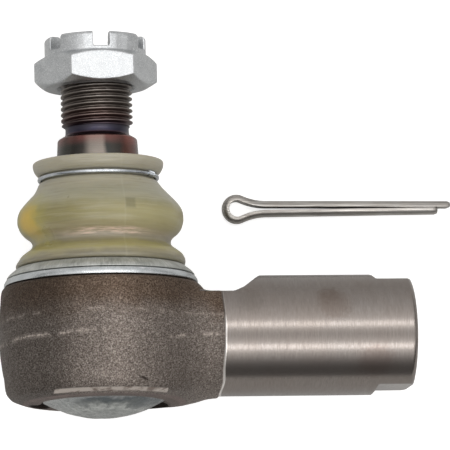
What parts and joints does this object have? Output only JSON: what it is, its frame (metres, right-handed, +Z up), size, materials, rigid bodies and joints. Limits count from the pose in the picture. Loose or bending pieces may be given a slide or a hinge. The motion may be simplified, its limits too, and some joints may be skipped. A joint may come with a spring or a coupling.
{
  "type": "tie rod end",
  "caption": "Tie rod end: round forged housing on a threaded shank, with a tapered ball stud in a dust boot, a slotted castle nut on the stud and a loose split pin beside it.",
  "frame": {"origin": "centre of the ball", "axes": "+X out along the shank, +Y up the ball stud to the nut, +Z up from the bench the part lies on"},
  "size_m": [0.1593, 0.1279, 0.0684],
  "materials": {
    "forged_steel": "shot-blasted barrel, turned shank",
    "stud_steel": "ground and rolled, slightly heat tinted",
    "zinc_plate": "bright zinc",
    "grey_band": "dull grey",
    "plain_steel": "plain",
    "pin_steel": "plain drawn wire",
    "boot_urethane": "translucent polyurethane",
    "bearing_plastic": "moulded acetal",
    "seal_rubber": "matte"
  },
  "bodies": {
    "housing": {"housing": "forged_steel", "closure_plate": "zinc_plate", "closure_seal": "seal_rubber", "spring_seat": "plain_steel", "preload_spring": "plain_steel", "boot_retaining_ring": "zinc_plate", "boot_bead_band": "grey_band"},
    "bearing": {"upper_bearing_shell": "bearing_plastic", "lower_bearing_shell": "bearing_plastic", "dust_boot": "boot_urethane"},
    "boot_collar": {"boot_wire_ring": "zinc_plate"},
    "stud": {"ball_stud": "stud_steel"},
    "nut": {"castle_nut": "zinc_plate"},
    "split_pin": {"cotter_pin": "pin_steel"}
  },
  "joints": [
    {"name": "boot_direction", "type": "hinge", "parent": "housing", "child": "bearing", "pos_m": [0, 0, 0], "axis": [0, 1, 0], "continuous": true},
    {"name": "stud_tilt", "type": "hinge", "parent": "bearing", "child": "boot_collar", "pos_m": [0, 0, 0], "axis": [0, 0, 1], "range_deg": [-20, 20], "deforming": ["dust_boot"]},
    {"name": "stud_spin", "type": "hinge", "parent": "boot_collar", "child": "stud", "pos_m": [0, 0, 0], "axis": [0, 1, 0], "continuous": true},
    {"name": "nut_turn", "type": "hinge", "parent": "stud", "child": "nut", "pos_m": [0, 0.0923, 0], "axis": [0, 1, 0], "continuous": true},
    {"name": "pin_lift", "type": "slide", "parent": "housing", "child": "split_pin", "axis": [0, 0, 1], "range_m": [0, 0.1]}
  ]
}
